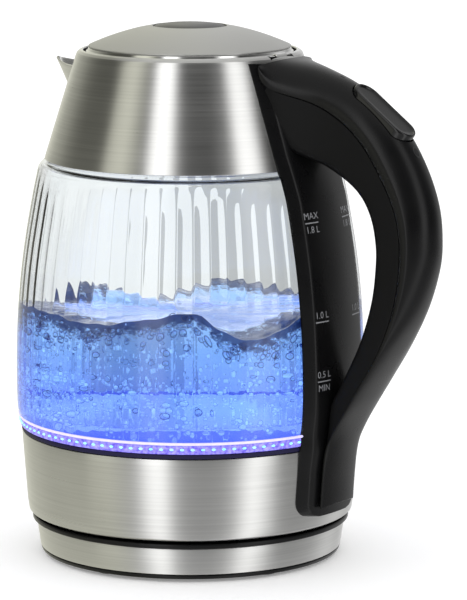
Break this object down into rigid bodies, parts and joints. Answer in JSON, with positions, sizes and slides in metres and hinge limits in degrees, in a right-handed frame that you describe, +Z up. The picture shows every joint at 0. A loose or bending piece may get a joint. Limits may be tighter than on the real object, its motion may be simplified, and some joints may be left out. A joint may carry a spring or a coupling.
{
  "type": "electric kettle",
  "caption": "Cordless glass electric kettle with steel collar and band, looped handle with rocker switch, push-button lid and round power base.",
  "frame": {"origin": "on the vertical axis of the kettle, at the surface it stands on, in the middle of the flat boss under the power base", "axes": "+Z up; +X from the axis towards the handle, so the spout points along -X; +Y completes a right-handed frame"},
  "size_m": [0.2171, 0.1632, 0.2493],
  "materials": {
    "brushed_steel": "brushed round the axis, semi-gloss",
    "polished_steel": "polished",
    "satin_steel": "fine satin matt",
    "black_plastic": "satin moulded ABS",
    "matt_black_plastic": "fine matt texture",
    "button_plastic": "satin dark grey",
    "rubber": "matt",
    "silicone": "soft matt",
    "glass": "clear borosilicate with fine vertical flutes",
    "light_guide": "clear acrylic lit violet-blue",
    "brass": "bright",
    "white_nylon": "moulded",
    "circuit_board": "solder resist",
    "heater_sheath": "dull"
  },
  "bodies": {
    "power_base": {"base_bottom_cover": "black_plastic", "base_steel_band": "brushed_steel", "cord_outlet_bush": "rubber", "base_top_cover": "black_plastic", "base_connector_post": "black_plastic", "contact_ring_outer": "brass", "contact_ring_inner": "brass", "earth_contact_pin": "brass", "base_screw_1": "brushed_steel", "base_screw_2": "brushed_steel", "base_screw_3": "brushed_steel", "base_foot_1": "rubber", "base_foot_2": "rubber", "base_foot_3": "rubber", "base_foot_4": "rubber", "base_foot_5": "rubber"},
    "coupler": {"coupler_socket": "matt_black_plastic"},
    "jug": {"underside_cover": "black_plastic", "lid_seat_ring": "black_plastic", "handle_outer": "black_plastic", "hinge_block": "black_plastic", "handle_backbone": "matt_black_plastic", "handle_inner": "matt_black_plastic", "lower_steel_band": "brushed_steel", "collar_shell": "brushed_steel", "spout": "brushed_steel", "heating_plate": "brushed_steel", "underside_screw_1": "brushed_steel", "underside_screw_2": "brushed_steel", "underside_screw_3": "brushed_steel", "rocker_pin": "brushed_steel", "hinge_pin": "brushed_steel", "seal_ring_lower": "silicone", "seal_ring_upper": "silicone", "steam_tube": "silicone", "glass_jug": "glass", "light_ring": "light_guide", "bimetal_disc": "brass", "steam_bimetal": "brass", "control_body": "white_nylon", "switch_module": "white_nylon", "led_board": "circuit_board", "heating_element": "heater_sheath"},
    "lid": {"lid_dome": "satin_steel", "lid_rim_ring": "polished_steel", "lid_inner_cover": "black_plastic", "lid_seal": "silicone", "lid_hinge_arm": "polished_steel", "button_spring": "brushed_steel"},
    "open_button": {"lid_button": "button_plastic"},
    "latch": {"latch_bolt": "black_plastic"},
    "rocker": {"power_rocker": "black_plastic"},
    "link": {"switch_link": "white_nylon"},
    "trip": {"trip_lever": "brass"},
    "filter": {"filter_frame": "black_plastic", "filter_mesh": "polished_steel"}
  },
  "joints": [
    {"name": "kettle_lift", "type": "slide", "parent": "power_base", "child": "coupler", "axis": [0, 0, 1], "range_m": [0, 0.12]},
    {"name": "kettle_swivel", "type": "hinge", "parent": "coupler", "child": "jug", "pos_m": [0, 0, 0], "axis": [0, 0, 1], "continuous": true},
    {"name": "lid_hinge", "type": "hinge", "parent": "jug", "child": "lid", "pos_m": [0.05, 0, 0.2366], "axis": [0, 1, 0], "range_deg": [0, 80]},
    {"name": "button_press", "type": "slide", "parent": "lid", "child": "open_button", "axis": [0, 0, -1], "range_m": [0, 0.0025], "stiffness_N_per_m": 400, "springref_m": -0.002, "deforming": ["button_spring"]},
    {"name": "latch_slide", "type": "slide", "parent": "lid", "child": "latch", "axis": [1, 0, 0], "range_m": [0, 0.003]},
    {"name": "rocker_tilt", "type": "hinge", "parent": "jug", "child": "rocker", "pos_m": [0.1046, 0, 0.2122], "axis": [0, 1, 0], "range_deg": [0, 8]},
    {"name": "link_slide", "type": "slide", "parent": "jug", "child": "link", "axis": [0.628, 0, 0.7782], "range_m": [0, 0.0013]},
    {"name": "trip_turn", "type": "hinge", "parent": "jug", "child": "trip", "pos_m": [0.095, 0, 0.2042], "axis": [0, 1, 0], "range_deg": [0, 11.5]},
    {"name": "filter_slide", "type": "slide", "parent": "jug", "child": "filter", "axis": [1, 0, 0], "range_m": [0, 0.03]}
  ],
  "couplings": [
    {"joint": "latch_slide", "follows": "button_press", "ratio": 1.2},
    {"joint": "link_slide", "follows": "rocker_tilt", "m_per_rad": 0.00895},
    {"joint": "trip_turn", "follows": "rocker_tilt", "ratio": 1.4}
  ]
}
